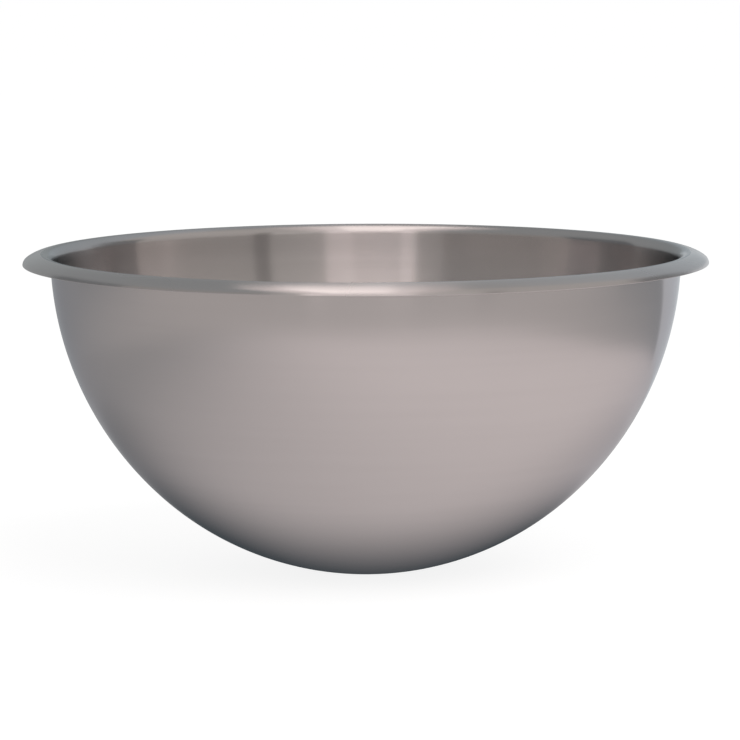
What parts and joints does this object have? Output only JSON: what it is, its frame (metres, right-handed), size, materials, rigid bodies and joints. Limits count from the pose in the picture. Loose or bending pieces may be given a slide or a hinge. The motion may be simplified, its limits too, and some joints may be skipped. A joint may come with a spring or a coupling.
{
  "type": "mixing bowl",
  "caption": "Hemispherical stainless steel mixing bowl, pressed from one sheet, with an open turned-down rim and a tiny base flat.",
  "frame": {"origin": "centre of the base flat that the bowl stands on", "axes": "+Z is the bowl's axis of revolution, up through the mouth; the bowl is the same all round, so X and Y are free"},
  "size_m": [0.2612, 0.2612, 0.1228],
  "materials": {
    "bowl_steel": "polished stainless steel with fine turned lines, satin inside"
  },
  "bodies": {
    "root": {"bowl": "bowl_steel"}
  },
  "joints": []
}
